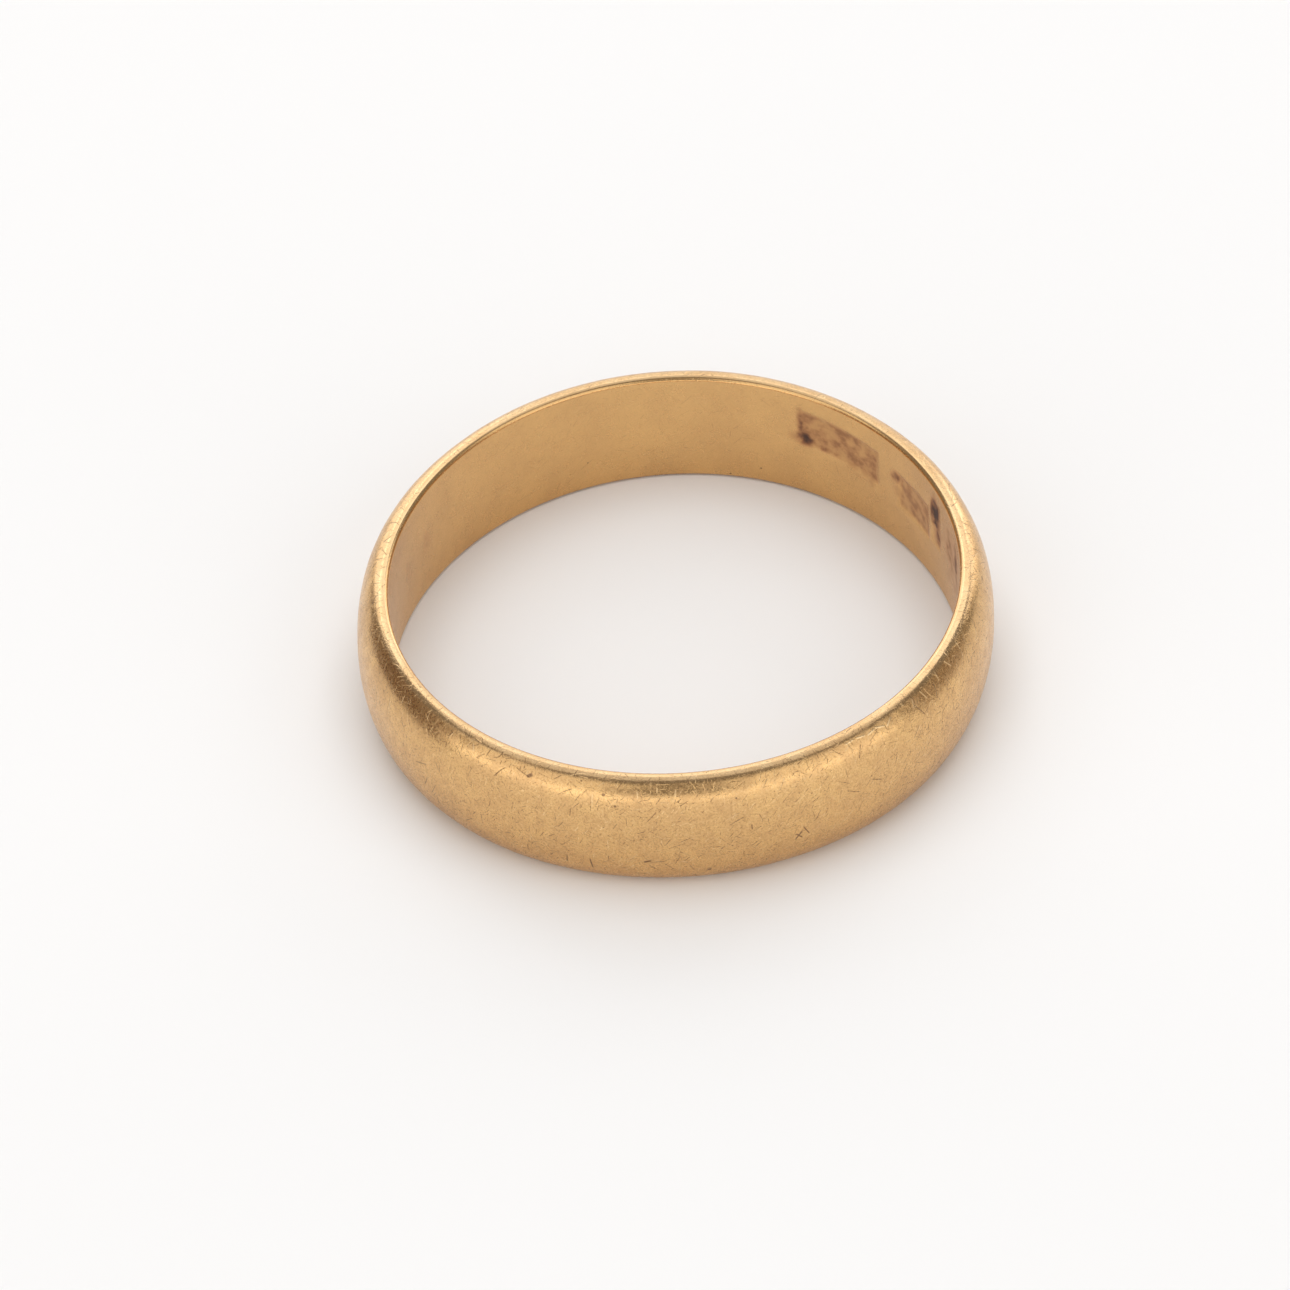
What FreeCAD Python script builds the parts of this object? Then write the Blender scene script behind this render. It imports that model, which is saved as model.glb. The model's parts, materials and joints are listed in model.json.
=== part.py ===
"""Plain domed wedding band with three blank punch marks struck inside the finger hole.

The band is one solid piece of 18 ct yellow gold. Its D section is flat against the finger and
domed outside, and it turns through a full circle about Z. The band lies on its lower edge at
Z = 0, with the finger hole's axis on Z.

Sizes are millimetres and degrees, and they live in the spreadsheet "sizes".
"""
import FreeCAD
import Part
import math
import os
import Sketcher

# Driving dimensions: alias, value, what it is.
SIZES = [
    ("bore_diameter", 17.0, "finger hole, across its straight wall"),
    ("band_width", 4.0, "edge to edge, along the finger"),
    ("wall_thickness", 1.0, "from the straight wall to the top of the dome"),
    ("bore_edge_radius", 0.16, "round where the finger hole meets each edge"),
    ("edge_land", 0.04, "flat left on each edge, which the band lies on"),
    ("shoulder_radius", 0.43, "round where the dome meets each edge"),
    ("punch_depth", 0.06, "depth of the punch marks below the straight wall"),
    ("punch_overcut", 0.3, "how far the punch cutters reach into the open hole"),
    ("long_punch_start", 43.2, "long mark: angle from +X where it starts"),
    ("long_punch_span", 19.6, "long mark: angle it covers"),
    ("long_punch_bottom", 1.95, "long mark: height of its lower edge"),
    ("long_punch_height", 1.25, "long mark: size along the band's width"),
    ("short_punch_start", 26.0, "short mark: angle from +X where it starts"),
    ("short_punch_span", 10.5, "short mark: angle it covers"),
    ("short_punch_bottom", 1.6, "short mark: height of its lower edge"),
    ("short_punch_height", 1.2, "short mark: size along the band's width"),
    ("narrow_punch_start", 20.4, "narrow mark: angle from +X where it starts"),
    ("narrow_punch_span", 3.4, "narrow mark: angle it covers"),
    ("narrow_punch_bottom", 1.7, "narrow mark: height of its lower edge"),
    ("narrow_punch_height", 1.65, "narrow mark: size along the band's width"),
]
PUNCHES = ("long_punch", "short_punch", "narrow_punch")
PARTS_FOLDER = "parts"

# Crown radius that is tangent to both shoulders and tops out at the wall thickness.
DOME_INSET = "(sizes.wall_thickness - sizes.bore_edge_radius - sizes.edge_land)"
CROWN_RADIUS = (
    f"({DOME_INSET}^2 + (sizes.band_width / 2 - sizes.shoulder_radius)^2"
    f" - sizes.shoulder_radius^2) / (2 * ({DOME_INSET} - sizes.shoulder_radius))"
)

# Names for the numbers that sketch constraints use for points and axes.
START, END, CENTRE = 1, 2, 3
X_AXIS = -1
ORIGIN = (X_AXIS, START)


def make_sheet(doc):
    """The spreadsheet of driving dimensions, one row each: value and note."""
    sheet = doc.addObject("Spreadsheet::Sheet", "sizes")
    for row, (alias, value, note) in enumerate(SIZES, start=1):
        sheet.set(f"A{row}", str(value))
        sheet.setAlias(f"A{row}", alias)
        sheet.set(f"B{row}", note)
    doc.recompute()
    return sheet


def make_sketch(body, name):
    """A sketch whose x is the distance from the band's axis and whose y is the height."""
    sketch = body.newObject("Sketcher::SketchObject", name)
    upright = next(f for f in body.Origin.OriginFeatures if f.Role == "XZ_Plane")
    sketch.AttachmentSupport = [(upright, "")]
    sketch.MapMode = "FlatFace"
    return sketch


def line(start, end):
    return Part.LineSegment(FreeCAD.Vector(*start, 0), FreeCAD.Vector(*end, 0))


def arc(centre, radius, start_angle, end_angle):
    circle = Part.Circle(FreeCAD.Vector(*centre, 0), FreeCAD.Vector(0, 0, 1), radius)
    return Part.ArcOfCircle(circle, math.radians(start_angle), math.radians(end_angle))


def join(sketch, kind, loop):
    """Each piece of a closed loop joined to the next, end to start."""
    for here, following in zip(loop, loop[1:] + loop[:1]):
        sketch.addConstraint(Sketcher.Constraint(kind, here, END, following, START))


def constrain(sketch, kind, pieces):
    for piece in pieces:
        sketch.addConstraint(Sketcher.Constraint(kind, piece))


def size(sketch, name, kind, ends, drawn, expression):
    """A named dimension driven by the spreadsheet, starting from the value as drawn."""
    index = sketch.addConstraint(Sketcher.Constraint(kind, *ends, drawn))
    sketch.renameConstraint(index, name)
    sketch.setExpression(f"Constraints.{name}", expression)


def draw_d_section(body, sheet):
    """The D section: straight wall, edge rounds, lands, shoulders and crown, all tangent."""
    bore = sheet.bore_diameter / 2
    top = sheet.band_width
    middle = top / 2
    edge = sheet.bore_edge_radius
    shoulder = sheet.shoulder_radius
    land_start = bore + edge
    land_end = land_start + sheet.edge_land
    crown_top = bore + sheet.wall_thickness
    inset = crown_top - land_end
    rise = middle - shoulder
    crown = (inset**2 + rise**2 - shoulder**2) / (2 * (inset - shoulder))
    crown_centre = crown_top - crown
    tilt = math.degrees(math.atan2(rise, land_end - crown_centre))

    sketch = make_sketch(body, "d_section")
    loop = [
        sketch.addGeometry(piece)
        for piece in (
            line((bore, top - edge), (bore, edge)),
            arc((land_start, edge), edge, 180, 270),
            line((land_start, 0), (land_end, 0)),
            arc((land_end, shoulder), shoulder, 270, 360 - tilt),
            arc((crown_centre, middle), crown, -tilt, tilt),
            arc((land_end, top - shoulder), shoulder, tilt, 90),
            line((land_end, top), (land_start, top)),
            arc((land_start, top - edge), edge, 90, 180),
        )
    ]
    wall, low_edge, low_land, low_shoulder, dome, high_shoulder, high_land, high_edge = loop
    join(sketch, "Tangent", loop)
    constrain(sketch, "Vertical", [wall])
    constrain(sketch, "Horizontal", [low_land, high_land])
    sketch.addConstraint(Sketcher.Constraint("PointOnObject", low_land, START, X_AXIS))
    sketch.addConstraint(Sketcher.Constraint("Equal", low_edge, high_edge))
    sketch.addConstraint(Sketcher.Constraint("Equal", low_shoulder, high_shoulder))
    land = (low_land, START, low_land, END)
    for dimension in (
        ("bore_radius", "DistanceX", (*ORIGIN, wall, START), bore, "sizes.bore_diameter / 2"),
        ("width", "DistanceY", (*ORIGIN, high_land, START), top, "sizes.band_width"),
        ("middle", "DistanceY", (*ORIGIN, dome, CENTRE), middle, "sizes.band_width / 2"),
        ("bore_edge", "Radius", (low_edge,), edge, "sizes.bore_edge_radius"),
        ("land", "DistanceX", land, sheet.edge_land, "sizes.edge_land"),
        ("shoulder", "Radius", (low_shoulder,), shoulder, "sizes.shoulder_radius"),
        ("crown", "Radius", (dome,), crown, CROWN_RADIUS),
    ):
        size(sketch, *dimension)
    return sketch


def turn_section(body, sketch):
    """The D section turned once round the band's axis."""
    turned = body.newObject("PartDesign::Revolution", "turned_band")
    turned.Profile = sketch
    turned.ReferenceAxis = (sketch, ["V_Axis"])
    turned.Angle = 360.0


def strike(body, sheet, punch):
    """One blank punch mark: a shallow groove over part of the finger hole's wall."""
    near = sheet.bore_diameter / 2 - sheet.punch_overcut
    far = sheet.bore_diameter / 2 + sheet.punch_depth
    bottom = sheet.get(f"{punch}_bottom")
    height = sheet.get(f"{punch}_height")
    start = FreeCAD.Rotation(FreeCAD.Vector(0, 1, 0), sheet.get(f"{punch}_start"))

    sketch = make_sketch(body, f"{punch}_section")
    sketch.AttachmentOffset = FreeCAD.Placement(FreeCAD.Vector(0, 0, 0), start)
    sketch.setExpression("AttachmentOffset.Rotation.Angle", f"sizes.{punch}_start")
    corners = [(near, bottom), (far, bottom), (far, bottom + height), (near, bottom + height)]
    loop = [
        sketch.addGeometry(line(here, following))
        for here, following in zip(corners, corners[1:] + corners[:1])
    ]
    low, deep, high, mouth = loop
    join(sketch, "Coincident", loop)
    constrain(sketch, "Horizontal", [low, high])
    constrain(sketch, "Vertical", [deep, mouth])
    for dimension in (
        ("near", "DistanceX", (*ORIGIN, low, START), near,
         "sizes.bore_diameter / 2 - sizes.punch_overcut"),
        ("far", "DistanceX", (*ORIGIN, deep, START), far,
         "sizes.bore_diameter / 2 + sizes.punch_depth"),
        ("bottom", "DistanceY", (*ORIGIN, low, START), bottom, f"sizes.{punch}_bottom"),
        ("height", "DistanceY", (deep, START, deep, END), height, f"sizes.{punch}_height"),
    ):
        size(sketch, *dimension)

    mark = body.newObject("PartDesign::Groove", punch)
    mark.Profile = sketch
    mark.ReferenceAxis = (sketch, ["V_Axis"])
    mark.setExpression("Angle", f"sizes.{punch}_span")


def check(doc, body):
    """Stops the build if a step failed or the band isn't one valid solid."""
    for step in doc.Objects:
        if {"Invalid", "Error"} & set(step.State):
            raise RuntimeError(f"{step.Label} failed")
    shape = body.Shape
    if shape.isNull() or not shape.isValid() or len(shape.Solids) != 1:
        raise RuntimeError("the band isn't one valid solid")


def main():
    doc = FreeCAD.newDocument("wedding_band")
    sheet = make_sheet(doc)
    band = doc.addObject("PartDesign::Body", "band")
    band.Label = "band"
    turn_section(band, draw_d_section(band, sheet))
    doc.recompute()
    for punch in PUNCHES:
        solid_before = band.Shape.Volume
        strike(band, sheet, punch)
        doc.recompute()
        if band.Shape.Volume >= solid_before:
            raise RuntimeError(f"{punch} cut nothing")
    check(doc, band)
    os.makedirs(PARTS_FOLDER, exist_ok=True)
    band.Shape.exportStep(os.path.join(PARTS_FOLDER, f"{band.Label}.step"))
    print(f"band: {band.Shape.Volume:.1f} mm3")


main()
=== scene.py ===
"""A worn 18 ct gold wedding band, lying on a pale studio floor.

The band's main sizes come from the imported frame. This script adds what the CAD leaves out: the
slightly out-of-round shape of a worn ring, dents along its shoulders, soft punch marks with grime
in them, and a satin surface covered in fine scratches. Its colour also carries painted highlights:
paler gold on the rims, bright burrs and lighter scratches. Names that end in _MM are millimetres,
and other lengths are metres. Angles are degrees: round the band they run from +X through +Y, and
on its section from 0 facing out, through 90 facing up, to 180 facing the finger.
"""
import bpy
import json
import math
import numpy as np
from mathutils import Matrix, Vector


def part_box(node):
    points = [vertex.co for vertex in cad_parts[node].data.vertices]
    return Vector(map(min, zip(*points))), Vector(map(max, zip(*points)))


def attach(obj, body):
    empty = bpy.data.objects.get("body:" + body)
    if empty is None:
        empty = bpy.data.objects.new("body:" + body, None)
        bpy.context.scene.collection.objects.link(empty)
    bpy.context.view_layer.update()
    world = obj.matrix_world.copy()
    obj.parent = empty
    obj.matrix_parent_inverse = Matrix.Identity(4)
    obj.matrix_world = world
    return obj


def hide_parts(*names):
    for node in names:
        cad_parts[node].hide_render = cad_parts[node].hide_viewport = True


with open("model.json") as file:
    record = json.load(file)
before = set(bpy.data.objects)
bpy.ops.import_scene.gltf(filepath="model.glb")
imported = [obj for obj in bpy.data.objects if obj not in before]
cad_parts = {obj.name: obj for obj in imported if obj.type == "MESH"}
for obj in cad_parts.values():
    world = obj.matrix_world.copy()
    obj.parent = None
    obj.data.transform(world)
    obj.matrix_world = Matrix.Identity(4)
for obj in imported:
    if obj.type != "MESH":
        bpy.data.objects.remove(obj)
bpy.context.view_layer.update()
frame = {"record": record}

MM = 0.001

# The camera: a long lens that looks down at the front of the band.
CAMERA_DISTANCE = 0.4275
CAMERA_ELEVATION = 43.49
CAMERA_ROLL = -2.38
CAMERA_LENS_MM = 398.8
SENSOR_MM = 36.0
# How near a thing may come to the camera and still be seen.
NEAREST_SEEN = 0.01
# How far the band lies right of and below the middle of the view, as shares of its width.
FRAMING_RIGHT = 0.0253
FRAMING_DOWN = 0.0197

# The section: what the frame and its record don't say.
EDGE_LAND_MM = 0.02
# The dome's shape: 2 is half an ellipse, and more is fuller at the shoulders.
DOME_POWER = 2.15

# Which way the section faces, in degrees.
FACING_UP = 90
FACING_FINGER = 180
FACING_DOWN = 270

# How many steps the mesh takes along each stretch of the section. The finger hole's wall has
# three: above the punch marks, beside them and below them.
WALL_TOP_STEPS = 3
WALL_MARKED_STEPS = 54
WALL_LOW_STEPS = 12
EDGE_STEPS = 8
DOME_STEPS = 78
# How many steps it takes round the band, where the punch marks are and elsewhere.
MARKED_STEPS = 175
PLAIN_STEPS = 430
MARKED_ARC = (18.0, 66.0)
MARKED_HEIGHTS_MM = (1.45, 3.5)

# Out of round: lobes, height in mm, angle of the first lobe.
LOBES = ((2, 0.114, 45.0), (3, 0.045, -30.0))
# Long shallow waves left by wear: waves round the band, height in mm, angle of the first.
WAVES = (
    (5, 0.006, 20.0),
    (9, 0.004, 75.0),
    (16, 0.002, 10.0),
    (37, 0.0012, 3.0),
    (61, 0.0008, 1.0),
)
# Knocks on the outside: angle, height on the band, radius and depth, the last three in mm.
# A depth below zero is a raised burr.
KNOCKS = (
    (-134.5, 3.74, 0.22, 0.012),
    (-127.0, 3.66, 0.16, 0.005),
    (-51.0, 3.83, 0.12, -0.010),
    (-46.0, 3.86, 0.13, 0.009),
    (-40.5, 3.76, 0.12, 0.007),
    (-36.0, 3.72, 0.16, 0.006),
    (-55.5, 3.30, 0.30, 0.004),
    (-86.0, 3.74, 0.30, 0.006),
    (-96.0, 3.80, 0.16, 0.005),
    (-113.0, 3.70, 0.20, 0.005),
    (-100.0, 1.40, 0.60, 0.004),
    (-64.0, 2.60, 0.50, 0.003),
    (-150.0, 2.90, 0.45, 0.004),
    (100.0, 2.20, 0.70, 0.006),
    (155.0, 1.50, 0.50, 0.005),
    (35.0, 2.80, 0.60, 0.005),
)
# Single deep scratches and pits on the outside: angle, height on the band, length and width in
# mm, and lean away from running round the band.
GOUGES = (
    (-69.1, 1.44, 0.46, 0.075, 52),
    (-69.0, 1.42, 0.40, 0.070, -48),
    (-67.6, 1.57, 0.50, 0.055, -63),
    (-107.2, 0.88, 0.62, 0.060, 96),
    (-111.7, 0.93, 0.42, 0.045, 84),
    (-77.9, 2.30, 0.26, 0.050, 92),
    (-96.9, 1.21, 0.30, 0.110, 20),
    (-85.8, 0.67, 0.16, 0.140, 0),
    (-104.7, 3.60, 0.13, 0.100, 0),
    (-102.5, 3.29, 0.10, 0.090, 0),
    (-119.0, 3.70, 0.26, 0.140, 30),
    (-39.5, 3.55, 0.70, 0.040, 118),
    (-34.0, 3.62, 0.60, 0.040, 70),
    (-143.0, 2.20, 0.70, 0.035, 25),
    (-52.5, 2.35, 0.55, 0.035, -30),
    (-20.0, 1.90, 0.60, 0.040, 60),
    (40.0, 2.10, 0.80, 0.040, -35),
    (88.0, 1.60, 0.90, 0.040, 15),
    (121.0, 2.60, 0.60, 0.040, -70),
    (168.0, 2.40, 0.80, 0.040, 40),
)
# Raised edges of metal, in the same columns, made bright by a painted highlight in their colour.
BURRS = (
    (-47.0, 3.81, 0.40, 0.060, 24),
    (-49.2, 3.83, 0.44, 0.060, -14),
    (-51.4, 3.84, 0.40, 0.055, 10),
    (-53.8, 3.86, 0.40, 0.050, -6),
    (-56.4, 3.87, 0.40, 0.040, 4),
    (-40.2, 3.80, 0.40, 0.040, 62),
    (-37.1, 3.78, 0.40, 0.040, 110),
    (-31.9, 3.84, 0.40, 0.036, 75),
    (-27.8, 3.82, 0.36, 0.036, 118),
    (-22.6, 3.84, 0.36, 0.034, 70),
    (-131.5, 3.80, 0.32, 0.040, -50),
    (-137.0, 3.76, 0.34, 0.034, 70),
    (-143.5, 3.80, 0.30, 0.034, 105),
    (-91.5, 3.70, 0.28, 0.034, 85),
    (-98.5, 3.66, 0.30, 0.034, 98),
    (120.0, 3.60, 0.40, 0.040, 80),
)
# How deep the gouges and specks are and how high the burrs, in thousandths of a mm, and how
# strongly each takes its own colour: brown for the gouges and specks, a painted highlight for the
# burrs.
PIT_DEPTH = 6.0
BURR_HEIGHT = 5.0
PIT_STRENGTH = 0.85
BURR_HIGHLIGHT_STRENGTH = 0.8
# The middle of a mark that is at its full strength, as a share of its width and of its length.
MARK_CORE_WIDTH = 1 / 3
MARK_CORE_LENGTH = 1 / 2

# Punch marks: middle angle, angle covered, lower edge and height in mm, lean in mm per mm, and
# how dirty they are.
PUNCHES = (
    (53.0, 19.6, 1.95, 1.25, 0.08, 0.44),
    (31.2, 10.5, 1.60, 1.20, 0.05, 0.42),
    (22.1, 3.4, 1.70, 1.65, 0.0, 0.44),
)
PUNCH_DEPTH_MM = 0.045
PUNCH_SLOPE_MM = 0.30
PUNCH_EDGE_DIRT = 0.16
# Dirt on the wall: angle, height on the band, half its length and half its height in mm, the
# angle that it is turned by, and how dark it is.
STAINS = (
    (61.2, 2.24, 0.42, 0.26, 0, 0.85),
    (56.6, 2.10, 0.60, 0.13, 5, 0.66),
    (62.3, 2.80, 0.13, 0.60, 0, 0.62),
    (60.5, 3.18, 0.50, 0.12, 5, 0.34),
    (54.0, 2.60, 0.70, 0.40, 8, 0.36),
    (48.5, 2.20, 0.80, 0.50, 8, 0.42),
    (44.5, 2.10, 0.20, 0.55, 8, 0.40),
    (37.6, 2.66, 0.22, 0.26, 25, 0.66),
    (34.0, 2.15, 0.60, 0.50, 20, 0.45),
    (29.5, 2.25, 0.60, 0.55, 10, 0.45),
    (22.8, 2.90, 0.26, 0.66, 0, 1.05),
    (21.4, 2.15, 0.30, 0.45, 0, 0.60),
    (14.5, 2.60, 0.30, 0.75, 0, 0.64),
    (8.5, 2.70, 0.40, 0.85, 0, 0.60),
    (10.0, 2.30, 1.60, 1.30, 0, 0.38),
    (151.5, 2.05, 0.36, 0.60, 10, 0.24),
    (160.5, 1.90, 0.30, 0.55, -15, 0.26),
)
# How far out a stain fades away, as a multiple of its size.
STAIN_REACH = 1.8

# Scratches: size of the cell of space that holds one, length and width in mm, depth in
# thousandths of a mm, and how much they darken the gold or brighten it with a painted glint.
SCRATCHES = (
    (0.50, 0.60, 0.034, 7.0, 1.15),
    (0.26, 0.34, 0.026, 5.0, 1.1),
    (0.14, 0.18, 0.022, 3.2, 1.05),
)
MICRON_MM = 0.001
# How steep the section is where the polish and the painted highlight of the rims begin, and where
# they are full.
RIM_START = 0.75
RIM_FULL = 0.97
# How much fainter the wear is: on the finger hole's wall, as a share, and lost on the rims.
WALL_WEAR = 0.22
RIM_CALM = 0.35
# How much darker than the gold a scratch is on the whole, and how much scratches differ in tone;
# those that come out lighter than the gold are painted glints.
SCRATCH_DARKNESS = 0.22
SCRATCH_CONTRAST = 1.2
# The middle of a scratch that is at its full depth, as a share of its length.
SCRATCH_CORE_LENGTH = 2 / 3
# How much scratches wander sideways, and how often.
WANDER_MM = 0.06
WANDERS_PER_MM = 1.6
# Height of the satin's fine grain and of the soft hollows in it, in thousandths of a mm.
GRAIN_HEIGHT = 2.5
ROLLING_HEIGHT = 5.5
# How much the grain changes the colour and the roughness.
GRAIN_TINT = 1.2
GRAIN_ROUGHNESS = 0.25
# Dark specks: cell size and radius in mm, and the middle that is darkest, as a share of it.
SPECK_CELL_MM = 0.85
SPECK_RADIUS_MM = 0.045
SPECK_CORE = 1 / 3

# Soft noise: spots per mm, detail, and the place in the noise that it is read from. It lies
# about evenly on both sides of its middle.
GRAIN_CLOUD = (17.0, 2, 3)
ROLLING_CLOUD = (2.2, 2, 4)
DIRT_CLOUD = (3.0, 4, 5)
DULL_CLOUD = (2.4, 4, 7)
PATCH_CLOUD = (0.7, 3, 9)
SCRATCH_CLOUD = (0.6, 1, 10)
NOISE_MIDDLE = 0.5
# Fades: where the value starts and ends, then what it becomes there.
DIRT_FADE = (0.3, 0.68, 0.7, 1.3)
DULL_FADE = (0.36, 0.66, 0, 1)
PATCH_FADE = (0.3, 0.7, 0, 0.4)
SCRATCH_FADE = (0.35, 0.6, 0.4, 1)
RED_DIRT_FADE = (0, 0.8, 0, 0.9)
BLACK_DIRT_FADE = (0.4, 1.0, 0, 0.85)
ROUGH_DIRT_FADE = (0.1, 0.8, 0, 1)
# How strongly the dull patches take their own colour, and how much rougher they are.
DULL_STRENGTH = 0.5
DULL_ROUGHNESS = 0.05

CLEAN_GOLD = (0.78, 0.485, 0.205, 1)
# Paler gold on the rims: a painted highlight.
RIM_HIGHLIGHT_GOLD = (0.76, 0.53, 0.29, 1)
DULL_GOLD = (0.62, 0.37, 0.165, 1)
# Lighter gold for the grain's random tone, and for the painted glints and highlights of scratches
# and burrs.
GLINT_AND_GRAIN_GOLD = (0.92, 0.66, 0.36, 1)
RED_DIRT = (0.38, 0.165, 0.09, 1)
BLACK_DIRT = (0.055, 0.050, 0.052, 1)
SPECK_BROWN = (0.20, 0.11, 0.06, 1)
SATIN_ROUGHNESS = 0.26
RIM_ROUGHNESS = 0.17
DIRT_ROUGHNESS = 0.55

FLOOR_COLOUR = (0.88, 0.88, 0.88, 1)
# The floor has no shine, or the cards beside the band would show in it.
FLOOR_SHINE = 0.0
FLOOR_HALF_WIDTH = 3.0
# How far the floor lies under the band, so that the two surfaces don't meet.
FLOOR_GAP_MM = 0.01
ROOM_COLOUR = (0.262, 0.247, 0.236, 1)

# Lights: name, azimuth from +Y clockwise and elevation of the middle, width and height in
# degrees, radiance, and whether reflections show it.
LIGHTS = (
    ("back_left", -25, 21, 28, 42, 1.35, True),
    ("back", 8, 21, 38, 40, 0.95, True),
    ("back_high", 4, 51, 46, 20, 1.4, True),
    ("back_right", 38, 16, 26, 34, 1.45, True),
    ("front_left", -127, 36, 58, 44, 0.9, True),
    ("front_left_low", -127, 5, 58, 18, 1.5, True),
    ("front_low", -177, 5, 48, 18, 1.45, True),
    ("front_right", 131, 34, 54, 40, 0.92, True),
    ("front_right_low", 131, 5, 54, 18, 1.45, True),
    ("top", 0, 78, 56, 32, 0.62, True),
    ("fill", 0, 88, 50, 50, 1.36, False),
)
LIGHT_DISTANCE = 0.6
# Dark cards beside the band, seen only in its reflections: where one stands along X, where it
# starts and ends along Y, and how tall it is, in mm, and its colour.
CARDS = (
    (-21.0, -9.0, 8.0, 15.0, (0.22, 0.165, 0.14, 1)),
    (24.0, -7.0, 3.0, 15.0, (0.36, 0.31, 0.28, 1)),
)
CARD_SHINE = 0.5


def band_sizes():
    """The band's driving sizes in millimetres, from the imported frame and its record."""
    low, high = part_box("band")
    bore = next(m for m in frame["record"]["mounts"] if m["name"] == "finger_bore")
    width = (high[2] - low[2]) / MM
    return {
        "outer_radius": (high[0] - low[0]) / 2 / MM,
        "bore_radius": bore["dims"]["r_mm"],
        "width": width,
        "bore_edge": (width - bore["dims"]["length_mm"]) / 2,
    }


def add_object(name, data):
    """A new object in the scene."""
    added = bpy.data.objects.new(name, data)
    bpy.context.scene.collection.objects.link(added)
    return added


def make_camera():
    """A long lens that looks down at the band from the front, a little turned and off centre."""
    elevation, roll = math.radians(CAMERA_ELEVATION), math.radians(CAMERA_ROLL)
    forward = Vector((0, math.cos(elevation), -math.sin(elevation)))
    level_right = Vector((1, 0, 0))
    level_up = level_right.cross(forward)
    right = math.cos(roll) * level_right + math.sin(roll) * level_up
    up = -math.sin(roll) * level_right + math.cos(roll) * level_up
    view_width = CAMERA_DISTANCE * SENSOR_MM / CAMERA_LENS_MM
    place = up * FRAMING_DOWN * view_width - right * FRAMING_RIGHT * view_width
    place -= forward * CAMERA_DISTANCE
    data = bpy.data.cameras.new("camera")
    data.lens = CAMERA_LENS_MM
    data.sensor_width = SENSOR_MM
    data.clip_start = NEAREST_SEEN
    camera = add_object("camera", data)
    turn = Matrix((right, up, -forward)).transposed().to_4x4()
    camera.matrix_world = Matrix.Translation(place) @ turn
    bpy.context.scene.camera = camera


def arc_points(centre, radius, start, end, steps):
    """Points along an arc as (distance from the axis, height, facing), without its last."""
    for step in range(steps):
        facing = start + (end - start) * step / steps
        turn = math.radians(facing)
        yield centre[0] + radius * math.cos(turn), centre[1] + radius * math.sin(turn), facing


def line_points(start, end, facing, steps):
    """Points along a line as (distance from the axis, height, facing), without its last."""
    for step in range(steps):
        share = step / steps
        yield (
            start[0] + (end[0] - start[0]) * share,
            start[1] + (end[1] - start[1]) * share,
            facing,
        )


def dome_points(land_end, outer_radius, middle, steps):
    """Points along the dome, a full half oval from edge to edge, without its last."""
    inset = outer_radius - land_end
    for step in range(steps):
        turn = math.pi * (step / steps - 0.5)
        out = math.cos(turn) ** (2 / DOME_POWER)
        along = math.copysign(abs(math.sin(turn)) ** (2 / DOME_POWER), turn)
        steep = math.copysign(abs(along) ** (DOME_POWER - 1), turn)
        facing = math.degrees(math.atan2(inset * steep, middle * out ** (DOME_POWER - 1)))
        yield land_end + inset * out, middle * (1 + along), facing


def section_points(sizes):
    """The closed D section, counter-clockwise seen with the axis on the left."""
    bore, top, edge = sizes["bore_radius"], sizes["width"], sizes["bore_edge"]
    land_start = bore + edge
    land_end = land_start + EDGE_LAND_MM
    low, high = MARKED_HEIGHTS_MM
    up, finger, down = FACING_UP, FACING_FINGER, FACING_DOWN
    return [
        *line_points((bore, top - edge), (bore, high), finger, WALL_TOP_STEPS),
        *line_points((bore, high), (bore, low), finger, WALL_MARKED_STEPS),
        *line_points((bore, low), (bore, edge), finger, WALL_LOW_STEPS),
        *arc_points((land_start, edge), edge, finger, down, EDGE_STEPS),
        *line_points((land_start, 0), (land_end, 0), down, 1),
        *dome_points(land_end, sizes["outer_radius"], top / 2, DOME_STEPS),
        *line_points((land_end, top), (land_start, top), up, 1),
        *arc_points((land_start, top - edge), edge, up, finger, EDGE_STEPS),
    ]


def round_angles():
    """Angles round the band, closer together where the punch marks are."""
    start, end = MARKED_ARC
    marked = np.linspace(start, end, MARKED_STEPS, endpoint=False)
    plain = np.linspace(end, start + 360, PLAIN_STEPS, endpoint=False)
    return np.radians(np.concatenate((marked, plain)))


def ripple(angles, terms):
    """A sum of cosines round the band: waves, height and the angle of the first."""
    total = np.zeros_like(angles)
    for waves, height, first in terms:
        total += height * np.cos(waves * (angles - math.radians(first)))
    return total


def smooth_step(value):
    value = np.clip(value, 0, 1)
    return value * value * (3 - 2 * value)


def turn_from(angles, degrees):
    """How far each angle is past the given one, by the shorter way round."""
    return (angles - math.radians(degrees) + math.pi) % math.tau - math.pi


def punch_marks(sizes, angles, heights):
    """How deep each point of the finger hole's wall lies in a punch mark, and its dirt."""
    depth = np.zeros(np.broadcast(angles, heights).shape)
    dirt = np.zeros_like(depth)
    for middle, cover, bottom, tall, lean, dirty in PUNCHES:
        across = turn_from(angles, middle) * sizes["bore_radius"]
        half_across = math.radians(cover) / 2 * sizes["bore_radius"]
        up = heights - bottom - tall / 2 - lean * across
        side = np.maximum(np.abs(across) - half_across, np.abs(up) - tall / 2)
        # The slope lies half inside the outline and half outside it.
        inside = smooth_step(0.5 - side / PUNCH_SLOPE_MM)
        depth = np.maximum(depth, inside)
        edge = inside * (1 - inside)
        dirt = np.maximum(dirt, inside * dirty + edge * PUNCH_EDGE_DIRT)
    return depth * PUNCH_DEPTH_MM, dirt


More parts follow.
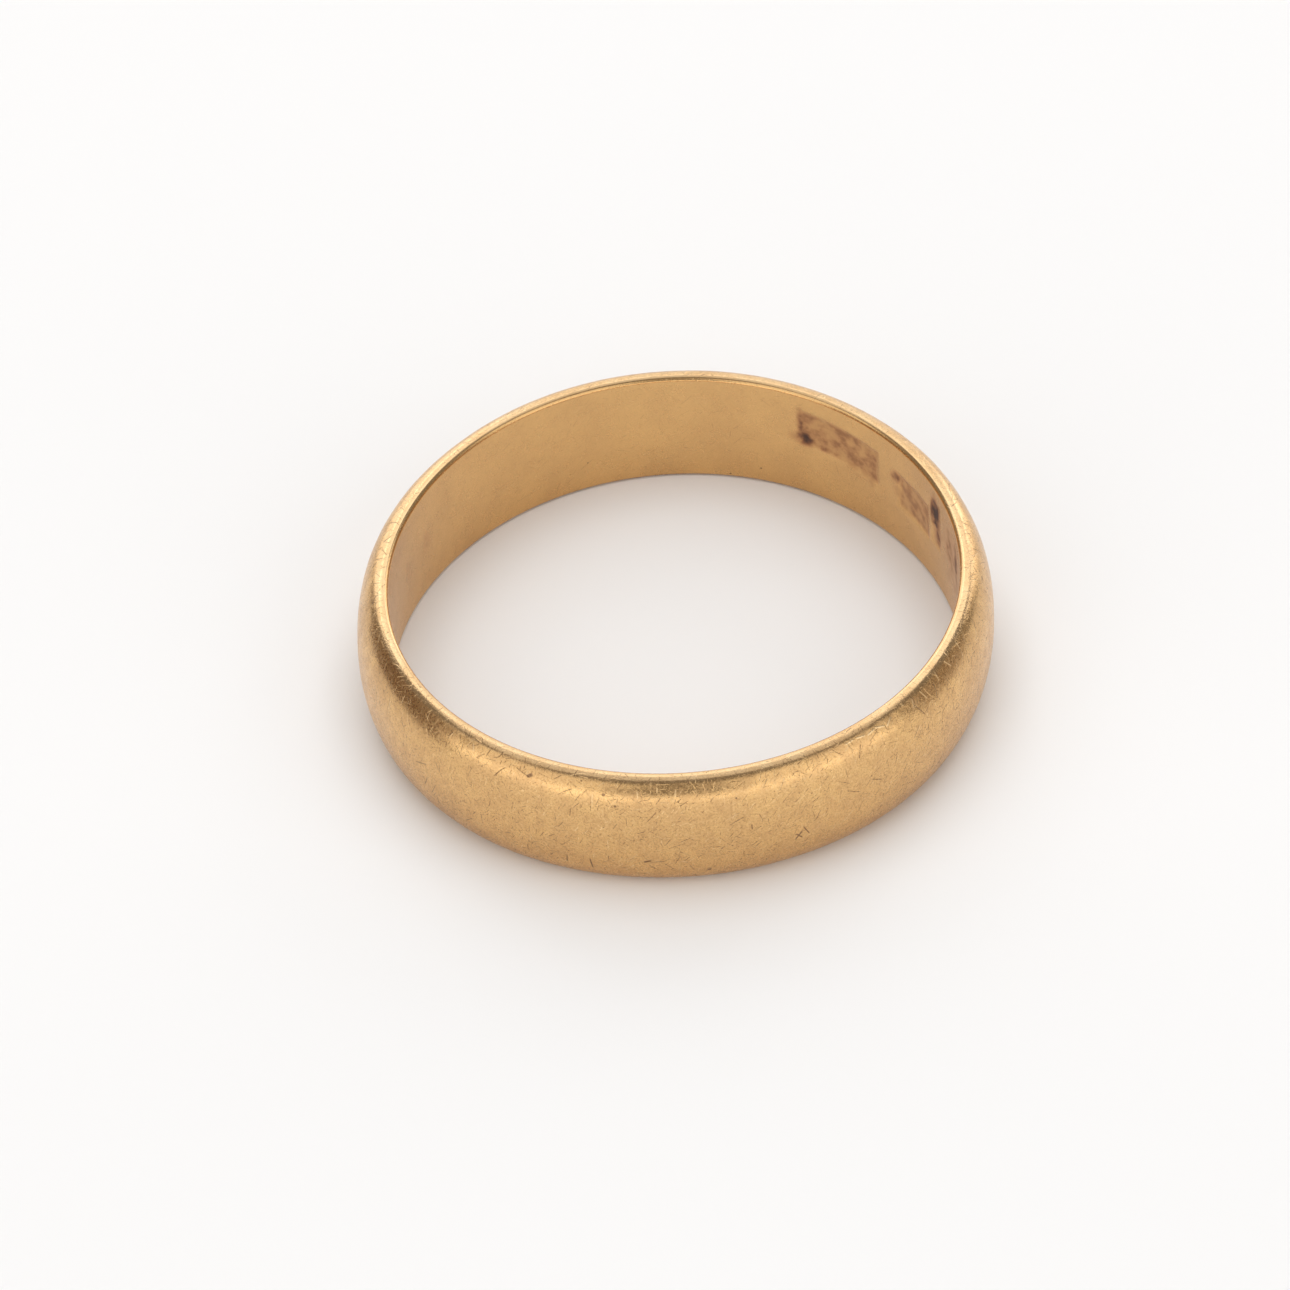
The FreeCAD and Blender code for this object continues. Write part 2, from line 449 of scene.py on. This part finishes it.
def stain_marks(sizes, angles, heights):
    """How dark the dirt is at each point of the finger hole's wall, apart from the punch marks."""
    dirt = np.zeros(np.broadcast(angles, heights).shape)
    for middle, level, half_across, half_up, turned, dark in STAINS:
        across = turn_from(angles, middle) * sizes["bore_radius"]
        up = heights - level
        turn = math.radians(turned)
        along = (across * math.cos(turn) + up * math.sin(turn)) / half_across
        aside = (up * math.cos(turn) - across * math.sin(turn)) / half_up
        reach = 1 - np.hypot(along, aside) / STAIN_REACH
        dirt = np.maximum(dirt, dark * smooth_step(reach))
    return dirt


def knocks(sizes, angles, heights):
    """How far knocks push each point of the outside in."""
    depth = np.zeros(np.broadcast(angles, heights).shape)
    for middle, level, radius, deep in KNOCKS:
        across = turn_from(angles, middle) * sizes["outer_radius"]
        depth += deep * np.exp(-(across**2 + (heights - level) ** 2) / radius**2)
    return depth


def add_attribute(mesh, name, values):
    attribute = mesh.attributes.new(name, "FLOAT", "POINT")
    attribute.data.foreach_set("value", values.astype(np.float32).ravel())


def grid_faces(rows, columns):
    """The squares of a grid that closes on itself both ways, as four points each."""
    here = np.arange(rows * columns).reshape(rows, columns)
    above = np.roll(here, -1, axis=0)
    ahead = np.roll(here, -1, axis=1)
    corner = np.roll(above, -1, axis=1)
    return np.stack((here, ahead, corner, above), axis=-1).reshape(-1, 4)


def make_band(sizes):
    """The band as one closed grid: a row for each point of the section, a column for each angle."""
    radius, height, facing = np.array(section_points(sizes)).T[:, :, None]
    angles = round_angles()[None, :]
    turn = np.radians(facing)
    on_wall = facing == FACING_FINGER
    outside = np.cos(turn) > 0
    marked, dirt = punch_marks(sizes, angles, height)
    dirt = np.maximum(dirt, stain_marks(sizes, angles, height)) * on_wall
    push = ripple(angles, WAVES) * np.maximum(np.cos(turn), 0)
    push -= knocks(sizes, angles, height) * outside
    push -= marked * on_wall
    far = radius + ripple(angles, LOBES) + push * np.cos(turn)
    up = height + push * np.sin(turn)
    points = np.stack((far * np.cos(angles), far * np.sin(angles), up), axis=-1) * MM

    mesh = bpy.data.meshes.new("worn_band")
    mesh.from_pydata(points.reshape(-1, 3).tolist(), [], grid_faces(*far.shape).tolist())
    mesh.polygons.foreach_set("use_smooth", np.ones(len(mesh.polygons), dtype=bool))
    steepness = np.broadcast_to(np.abs(np.sin(turn)), far.shape)
    rim = smooth_step((steepness - RIM_START) / (RIM_FULL - RIM_START))
    add_attribute(mesh, "dirt", dirt)
    add_attribute(mesh, "rim", rim)
    add_attribute(mesh, "wear", np.where(outside, 1, WALL_WEAR) * (1 - RIM_CALM * rim))
    mesh.update()
    return add_object("worn_band", mesh)


def feed(tree, socket, value):
    """Gives a socket its value: a link from another socket, or a constant."""
    if isinstance(value, bpy.types.NodeSocket):
        tree.links.new(value, socket)
    else:
        socket.default_value = value


def add_node(tree, kind, inputs):
    node = tree.nodes.new(kind)
    for name, value in inputs.items():
        feed(tree, node.inputs[name], value)
    return node


def maths(tree, operation, *values):
    node = tree.nodes.new("ShaderNodeMath")
    node.operation = operation
    for socket, value in zip(node.inputs, values):
        feed(tree, socket, value)
    return node.outputs["Value"]


def vector_maths(tree, operation, *values):
    node = tree.nodes.new("ShaderNodeVectorMath")
    node.operation = operation
    for socket, value in zip(node.inputs, values):
        feed(tree, socket, value)
    return node.outputs["Value" if operation in ("DOT_PRODUCT", "LENGTH") else "Vector"]


def fade(tree, value, start, end, low=0.0, high=1.0):
    """Runs smoothly from low to high as the value goes from start to end."""
    limits = {"From Min": start, "From Max": end, "To Min": low, "To Max": high}
    node = add_node(tree, "ShaderNodeMapRange", {"Value": value, **limits})
    node.interpolation_type = "SMOOTHSTEP"
    return node.outputs["Result"]


def mix_colours(tree, share, first, second):
    node = tree.nodes.new("ShaderNodeMix")
    node.data_type = "RGBA"
    for name, value in (("Factor_Float", share), ("A_Color", first), ("B_Color", second)):
        socket = next(s for s in node.inputs if s.identifier == name)
        feed(tree, socket, value)
    return next(s for s in node.outputs if s.identifier == "Result_Color")


def cloud(tree, place, per_mm, detail, seed):
    """Soft noise between 0 and 1, mostly near its middle."""
    shifted = vector_maths(tree, "ADD", place, (seed, seed, seed))
    inputs = {"Vector": shifted, "Scale": per_mm, "Detail": detail}
    return add_node(tree, "ShaderNodeTexNoise", inputs).outputs["Fac"]


def scratch_layer(tree, place, facing, cell, length, width):
    """Straight scratches, one to each cell of space, that run any way along the surface.

    Returns how much of a scratch there is, and its tone: below 0 is dark and above 0 is a bright
    painted glint.
    """
    cells = add_node(tree, "ShaderNodeTexVoronoi", {"Vector": place, "Scale": 1 / cell})
    offset = vector_maths(tree, "SUBTRACT", place, cells.outputs["Position"])
    spread = vector_maths(tree, "SUBTRACT", cells.outputs["Color"], (NOISE_MIDDLE,) * 3)
    sideways = vector_maths(tree, "CROSS_PRODUCT", spread, facing)
    sideways = vector_maths(tree, "NORMALIZE", sideways)
    across = maths(tree, "ABSOLUTE", vector_maths(tree, "DOT_PRODUCT", offset, sideways))
    line = fade(tree, across, width / 2, 0)
    from_middle = vector_maths(tree, "LENGTH", offset)
    ends = fade(tree, from_middle, length / 2, length / 2 * SCRATCH_CORE_LENGTH)
    tone = vector_maths(tree, "DOT_PRODUCT", spread, (SCRATCH_CONTRAST,) * 3)
    return maths(tree, "MULTIPLY", line, ends), tone


def scratches(tree, place, facing):
    """All the scratches together: their depth in mm, and how they change the colour, the lighter
    ones with a painted glint.
    """
    wander = add_node(tree, "ShaderNodeTexNoise", {"Vector": place, "Scale": WANDERS_PER_MM})
    scaled = vector_maths(tree, "MULTIPLY", wander.outputs["Color"], (WANDER_MM,) * 3)
    bent = vector_maths(tree, "ADD", place, scaled)
    depth = 0
    tint = 0
    for number, (cell, length, width, microns, strength) in enumerate(SCRATCHES):
        layer, tone = scratch_layer(tree, bent, facing, cell, length, width)
        per_mm, detail, seed = SCRATCH_CLOUD
        patchy = cloud(tree, place, per_mm, detail, seed + number)
        layer = maths(tree, "MULTIPLY", layer, fade(tree, patchy, *SCRATCH_FADE))
        depth = maths(tree, "MULTIPLY_ADD", layer, microns * MICRON_MM, depth)
        darker = maths(tree, "MULTIPLY", maths(tree, "SUBTRACT", tone, SCRATCH_DARKNESS), strength)
        tint = maths(tree, "MULTIPLY_ADD", layer, darker, tint)
    return depth, tint


def outside_point(sizes, angle, level):
    """The point of the outside at an angle and a height on the band, in mm."""
    land_end = sizes["bore_radius"] + sizes["bore_edge"] + EDGE_LAND_MM
    half_width = sizes["width"] / 2
    share = abs(level - half_width) / half_width
    bulge = (1 - share**DOME_POWER) ** (1 / DOME_POWER)
    far = land_end + (sizes["outer_radius"] - land_end) * bulge
    far += float(ripple(np.array(angle), LOBES))
    return Vector((far * math.cos(angle), far * math.sin(angle), level))


def single_marks(tree, place, sizes, marks):
    """How far each point of the surface lies in one of the marks placed one by one."""
    marked = 0
    for degrees, level, length, width, lean in marks:
        angle, turn = math.radians(degrees), math.radians(lean)
        round_way = Vector((-math.sin(angle), math.cos(angle), 0))
        aside_way = Vector((0, 0, 1)) * math.cos(turn) - round_way * math.sin(turn)
        offset = vector_maths(tree, "SUBTRACT", place, outside_point(sizes, angle, level))
        aside = maths(tree, "ABSOLUTE", vector_maths(tree, "DOT_PRODUCT", offset, aside_way))
        from_middle = vector_maths(tree, "LENGTH", offset)
        line = fade(tree, aside, width / 2, width / 2 * MARK_CORE_WIDTH)
        ends = fade(tree, from_middle, length / 2, length / 2 * MARK_CORE_LENGTH)
        marked = maths(tree, "MAXIMUM", marked, maths(tree, "MULTIPLY", line, ends))
    return marked


def specks(tree, place):
    """Small dark pits, here and there."""
    inputs = {"Vector": place, "Scale": 1 / SPECK_CELL_MM}
    cells = add_node(tree, "ShaderNodeTexVoronoi", inputs)
    offset = vector_maths(tree, "SUBTRACT", place, cells.outputs["Position"])
    from_middle = vector_maths(tree, "LENGTH", offset)
    return fade(tree, from_middle, SPECK_RADIUS_MM, SPECK_RADIUS_MM * SPECK_CORE)


def read_attribute(tree, name):
    reader = tree.nodes.new("ShaderNodeAttribute")
    reader.attribute_name = name
    return reader.outputs["Fac"]


def gold_surface(tree, sizes):
    """What the gold's height, colour and roughness are all worked out from."""
    object_place = tree.nodes.new("ShaderNodeTexCoord").outputs["Object"]
    place = vector_maths(tree, "MULTIPLY", object_place, (1 / MM,) * 3)
    facing = tree.nodes.new("ShaderNodeNewGeometry").outputs["Normal"]
    wear = read_attribute(tree, "wear")
    scratched, tint = scratches(tree, place, facing)
    gouged = single_marks(tree, place, sizes, GOUGES)
    dull = fade(tree, cloud(tree, place, *DULL_CLOUD), *DULL_FADE)
    broken = fade(tree, cloud(tree, place, *DIRT_CLOUD), *DIRT_FADE)
    return {
        "place": place,
        "rim": read_attribute(tree, "rim"),
        "wear": wear,
        "scratched": scratched,
        "tint": tint,
        "grain": cloud(tree, place, *GRAIN_CLOUD),
        "pitted": maths(tree, "MAXIMUM", specks(tree, place), gouged),
        "burred": single_marks(tree, place, sizes, BURRS),
        "dull": maths(tree, "MULTIPLY", dull, wear),
        "dirt": maths(tree, "MULTIPLY", read_attribute(tree, "dirt"), broken),
    }


def gold_height(tree, surface):
    """How far each point stands proud of the smooth band, in mm."""
    grain = maths(tree, "MULTIPLY", surface["grain"], GRAIN_HEIGHT * MICRON_MM)
    rolling = cloud(tree, surface["place"], *ROLLING_CLOUD)
    height = maths(tree, "MULTIPLY_ADD", rolling, ROLLING_HEIGHT * MICRON_MM, grain)
    height = maths(tree, "SUBTRACT", height, surface["scratched"])
    height = maths(tree, "MULTIPLY", height, surface["wear"])
    height = maths(tree, "MULTIPLY_ADD", surface["pitted"], -PIT_DEPTH * MICRON_MM, height)
    return maths(tree, "MULTIPLY_ADD", surface["burred"], BURR_HEIGHT * MICRON_MM, height)


def gold_colour(tree, surface):
    """Gold, paler on the rims as a painted highlight, on which each kind of wear, the painted
    glints of scratches and burrs, and last the dirt lay their own colour.
    """
    speckle = maths(tree, "SUBTRACT", surface["grain"], NOISE_MIDDLE)
    tint = maths(tree, "MULTIPLY_ADD", speckle, GRAIN_TINT, surface["tint"])
    tint = maths(tree, "MULTIPLY", tint, surface["wear"])
    patch = fade(tree, cloud(tree, surface["place"], *PATCH_CLOUD), *PATCH_FADE)
    layers = (
        (maths(tree, "MULTIPLY", surface["dull"], DULL_STRENGTH), DULL_GOLD),
        (patch, DULL_GOLD),
        # The grain's random tone, and the painted glints of the lighter scratches.
        (tint, GLINT_AND_GRAIN_GOLD),
        (maths(tree, "MULTIPLY", tint, -1.0), SPECK_BROWN),
        # The burrs' painted highlight.
        (maths(tree, "MULTIPLY", surface["burred"], BURR_HIGHLIGHT_STRENGTH), GLINT_AND_GRAIN_GOLD),
        (maths(tree, "MULTIPLY", surface["pitted"], PIT_STRENGTH), SPECK_BROWN),
        (fade(tree, surface["dirt"], *RED_DIRT_FADE), RED_DIRT),
        (fade(tree, surface["dirt"], *BLACK_DIRT_FADE), BLACK_DIRT),
    )
    # The paler gold on the rims is a painted highlight.
    colour = mix_colours(tree, surface["rim"], CLEAN_GOLD, RIM_HIGHLIGHT_GOLD)
    for share, layer in layers:
        colour = mix_colours(tree, share, colour, layer)
    return colour


def gold_roughness(tree, surface):
    """Satin that is smoother on the rims, uneven with the grain, and matt where it is dirty."""
    uneven = maths(tree, "SUBTRACT", surface["grain"], NOISE_MIDDLE)
    uneven = maths(tree, "MULTIPLY", uneven, surface["wear"])
    roughness = fade(tree, surface["rim"], 0, 1, SATIN_ROUGHNESS, RIM_ROUGHNESS)
    roughness = maths(tree, "MULTIPLY_ADD", surface["dull"], DULL_ROUGHNESS, roughness)
    roughness = maths(tree, "MULTIPLY_ADD", uneven, GRAIN_ROUGHNESS, roughness)
    dirty = fade(tree, surface["dirt"], *ROUGH_DIRT_FADE)
    rougher = maths(tree, "SUBTRACT", DIRT_ROUGHNESS, roughness)
    return maths(tree, "MULTIPLY_ADD", dirty, rougher, roughness)


def new_material(name):
    """A material, and its shader."""
    material = bpy.data.materials.new(name)
    material.use_nodes = True
    return material, material.node_tree.nodes["Principled BSDF"]


def gold_material(sizes):
    """Worn satin gold: scratches, grain, pits, burrs, dull patches and dirt in the marks, with
    painted highlights in the colour of the rims, the burrs and the lighter scratches.
    """
    material, shader = new_material("gold")
    tree = material.node_tree
    surface = gold_surface(tree, sizes)
    height = gold_height(tree, surface)
    bump = add_node(tree, "ShaderNodeBump", {"Height": height, "Distance": MM})
    feed(tree, shader.inputs["Normal"], bump.outputs["Normal"])
    feed(tree, shader.inputs["Base Color"], gold_colour(tree, surface))
    feed(tree, shader.inputs["Roughness"], gold_roughness(tree, surface))
    shader.inputs["Metallic"].default_value = 1
    return material


def plain_material(name, colour, shine):
    """An even rough material for what isn't part of the object."""
    material, shader = new_material(name)
    shader.inputs["Base Color"].default_value = colour
    shader.inputs["Roughness"].default_value = 1
    shader.inputs["Specular IOR Level"].default_value = shine
    return material


def make_floor():
    """A wide level floor, just under the band."""
    half = FLOOR_HALF_WIDTH
    mesh = bpy.data.meshes.new("floor")
    corners = [(-half, -half, 0), (half, -half, 0), (half, half, 0), (-half, half, 0)]
    mesh.from_pydata(corners, [], [(0, 1, 2, 3)])
    mesh.materials.append(plain_material("pale_floor", FLOOR_COLOUR, FLOOR_SHINE))
    floor = add_object("floor", mesh)
    floor.location.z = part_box("band")[0][2] - FLOOR_GAP_MM * MM


def make_lights():
    """Soft panels all at one distance, each turned to face the band."""
    for name, azimuth, elevation, wide, tall, radiance, glossy in LIGHTS:
        data = bpy.data.lights.new(name, "AREA")
        data.shape = "RECTANGLE"
        data.size = 2 * LIGHT_DISTANCE * math.tan(math.radians(wide / 2))
        data.size_y = 2 * LIGHT_DISTANCE * math.tan(math.radians(tall / 2))
        data.energy = radiance * math.pi * data.size * data.size_y
        light = add_object(name, data)
        turn, rise = math.radians(azimuth), math.radians(elevation)
        towards = Vector(
            (math.sin(turn) * math.cos(rise), math.cos(turn) * math.cos(rise), math.sin(rise))
        )
        light.location = towards * LIGHT_DISTANCE
        light.rotation_euler = towards.to_track_quat("Z", "Y").to_euler()
        light.visible_glossy = glossy
        light.visible_camera = False


def make_cards():
    """Upright cards that stand on the floor and run front to back."""
    for number, (across, start, end, tall, colour) in enumerate(CARDS, start=1):
        corners = [(across, start, 0), (across, end, 0), (across, end, tall), (across, start, tall)]
        mesh = bpy.data.meshes.new(f"card_{number}")
        mesh.from_pydata([Vector(corner) * MM for corner in corners], [], [(0, 1, 2, 3)])
        mesh.materials.append(plain_material(f"dark_card_{number}", colour, CARD_SHINE))
        card = add_object(f"card_{number}", mesh)
        card.visible_camera = False
        card.visible_diffuse = False
        card.visible_shadow = False


def make_world():
    world = bpy.data.worlds.new("dim_room")
    world.use_nodes = True
    background = world.node_tree.nodes["Background"]
    background.inputs["Color"].default_value = ROOM_COLOUR
    bpy.context.scene.world = world


sizes = band_sizes()
make_camera()
band = make_band(sizes)
band.data.materials.append(gold_material(sizes))
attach(band, "root")
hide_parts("band")
make_floor()
make_lights()
make_cards()
make_world()
bpy.context.scene.view_settings.view_transform = "Standard"
